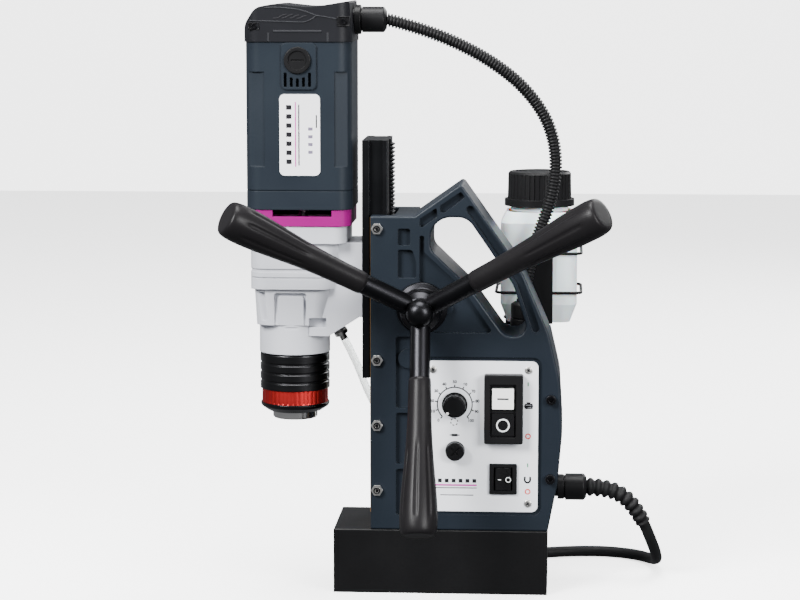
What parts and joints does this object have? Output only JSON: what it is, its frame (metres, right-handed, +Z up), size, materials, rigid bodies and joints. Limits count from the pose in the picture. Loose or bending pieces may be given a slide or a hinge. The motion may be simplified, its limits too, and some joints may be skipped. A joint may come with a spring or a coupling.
{
  "type": "magnetic drill press",
  "caption": "Portable core drill on a rectangular magnet foot, with a motor on a geared slide, a three-arm feed wheel and a coolant bottle.",
  "frame": {"origin": "centre of the magnet foot's underside, on the workpiece", "axes": "+Z up, -X towards the spindle, -Y towards the operator, so +Y is the side with the rear cover"},
  "size_m": [0.3541, 0.3596, 0.4662],
  "materials": {
    "magnet_paint": "satin",
    "copper_winding": "enamelled wire",
    "potting_resin": "cast resin",
    "frame_paint": "fine textured satin",
    "brass": "milled",
    "zinc_steel": "zinc plated",
    "black_steel": "blackened",
    "panel_aluminium": "satin silver",
    "brushed_steel": "turned",
    "black_plastic": "fine grain",
    "white_plastic": "moulded",
    "circuit_board": "solder mask",
    "rubber": "matt",
    "bottle_plastic": "translucent",
    "clear_hose": "clear",
    "grip_plastic": "satin",
    "rail_steel": "blackened, ground",
    "gearbox_paint": "fine textured",
    "magenta_plastic": "fine textured",
    "motor_plastic": "fine textured",
    "cap_plastic": "fine textured",
    "carbon": "pressed carbon",
    "bright_steel": "turned bright",
    "sleeve_black": "gloss",
    "red_anodised": "anodised"
  },
  "bodies": {
    "base": {"magnet_block": "magnet_paint", "magnet_coil": "copper_winding", "magnet_potting": "potting_resin", "frame_casting": "frame_paint", "rear_cover": "frame_paint", "brass_gibs": "brass", "gib_fasteners": "zinc_steel", "foot_bolts": "black_steel", "control_panel": "panel_aluminium", "panel_screws": "zinc_steel", "housing_screws": "black_steel", "speed_pot": "brushed_steel", "switch_housing": "black_plastic", "rocker_bezel": "black_plastic", "fuse_holder": "black_plastic", "control_board": "circuit_board", "lower_gland": "black_plastic", "mains_gland": "black_plastic", "cable_relief": "rubber", "mains_cable": "rubber", "cable_coil": "rubber", "mains_plug": "rubber", "bottle_bracket": "black_steel", "bottle_rack": "black_steel", "bottle": "bottle_plastic", "bottle_outlet": "black_plastic", "shaft_bushes": "brushed_steel", "coolant_hose": "clear_hose", "motor_conduit": "black_plastic"},
    "feed_wheel": {"pinion_shaft": "brushed_steel", "hub": "black_steel", "spokes": "black_steel", "grips": "grip_plastic"},
    "carriage": {"slide_rail": "rail_steel", "feed_rack": "rail_steel", "rail_screws": "black_steel", "gearbox_housing": "gearbox_paint", "hose_fitting": "brass", "fan_ring": "magenta_plastic", "motor_housing": "motor_plastic", "motor_cap": "cap_plastic", "motor_stator": "copper_winding", "carbon_brushes": "carbon", "brush_caps": "black_plastic", "upper_gland": "black_plastic", "ball_bearings": "brushed_steel"},
    "armature": {"armature": "brushed_steel"},
    "idler": {"idler_gear": "brushed_steel"},
    "spindle": {"spindle": "brushed_steel", "chuck_body": "bright_steel", "chuck_end_ring": "sleeve_black", "chuck_red_ring": "red_anodised"},
    "sleeve": {"chuck_sleeve": "sleeve_black"},
    "speed_knob": {"speed_knob": "black_plastic"},
    "on_button": {"on_button": "white_plastic"},
    "off_button": {"off_button": "black_plastic"},
    "magnet_rocker": {"magnet_rocker": "black_plastic"},
    "fuse_cap": {"fuse_cap": "black_plastic"},
    "bottle_cap": {"bottle_cap": "black_plastic"},
    "tap_lever": {"tap_lever": "white_plastic"}
  },
  "joints": [
    {"name": "feed_slide", "type": "slide", "parent": "base", "child": "carriage", "axis": [0, 0, 1], "range_m": [-0.105, 0.04], "deforming": ["motor_conduit", "coolant_hose"]},
    {"name": "feed_handle", "type": "hinge", "parent": "base", "child": "feed_wheel", "pos_m": [-0.0145, 0, 0.227], "axis": [0, 1, 0], "range_deg": [-241, 92]},
    {"name": "armature_turn", "type": "hinge", "parent": "carriage", "child": "armature", "pos_m": [-0.1108, 0, 0.35], "axis": [0, 0, 1], "continuous": true},
    {"name": "idler_turn", "type": "hinge", "parent": "carriage", "child": "idler", "pos_m": [-0.10213, 0.01345, 0.26], "axis": [0, 0, 1], "continuous": true},
    {"name": "spindle_turn", "type": "hinge", "parent": "carriage", "child": "spindle", "pos_m": [-0.118, 0, 0.2], "axis": [0, 0, 1], "continuous": true},
    {"name": "chuck_release", "type": "slide", "parent": "spindle", "child": "sleeve", "axis": [0, 0, 1], "range_m": [-0.006, 0], "stiffness_N_per_m": 1500, "springref_m": 0.006},
    {"name": "speed_dial", "type": "hinge", "parent": "base", "child": "speed_knob", "pos_m": [0.0113, -0.042, 0.1512], "axis": [0, -1, 0], "range_deg": [-270, 0]},
    {"name": "start_press", "type": "slide", "parent": "base", "child": "on_button", "axis": [0, 1, 0], "range_m": [0, 0.003], "stiffness_N_per_m": 300, "springref_m": -0.002},
    {"name": "stop_press", "type": "slide", "parent": "base", "child": "off_button", "axis": [0, 1, 0], "range_m": [0, 0.003], "stiffness_N_per_m": 300, "springref_m": -0.002},
    {"name": "magnet_switch", "type": "hinge", "parent": "base", "child": "magnet_rocker", "pos_m": [0.0492, -0.041, 0.0925], "axis": [0, 0, 1], "range_deg": [-6, 6]},
    {"name": "fuse_cap_turn", "type": "hinge", "parent": "base", "child": "fuse_cap", "pos_m": [0.0116, -0.042, 0.1145], "axis": [0, -1, 0], "range_deg": [-90, 0]},
    {"name": "bottle_cap_lift", "type": "slide", "parent": "base", "child": "bottle_cap", "axis": [0, 0, 1], "range_m": [0, 0.045]},
    {"name": "tap_turn", "type": "hinge", "parent": "base", "child": "tap_lever", "pos_m": [0.052, 0.1, 0.194], "axis": [0, 1, 0], "range_deg": [0, 90]}
  ],
  "couplings": [
    {"joint": "feed_handle", "follows": "feed_slide", "rad_per_m": 40},
    {"joint": "idler_turn", "follows": "armature_turn", "ratio": -0.42857},
    {"joint": "spindle_turn", "follows": "armature_turn", "ratio": 0.12857}
  ]
}
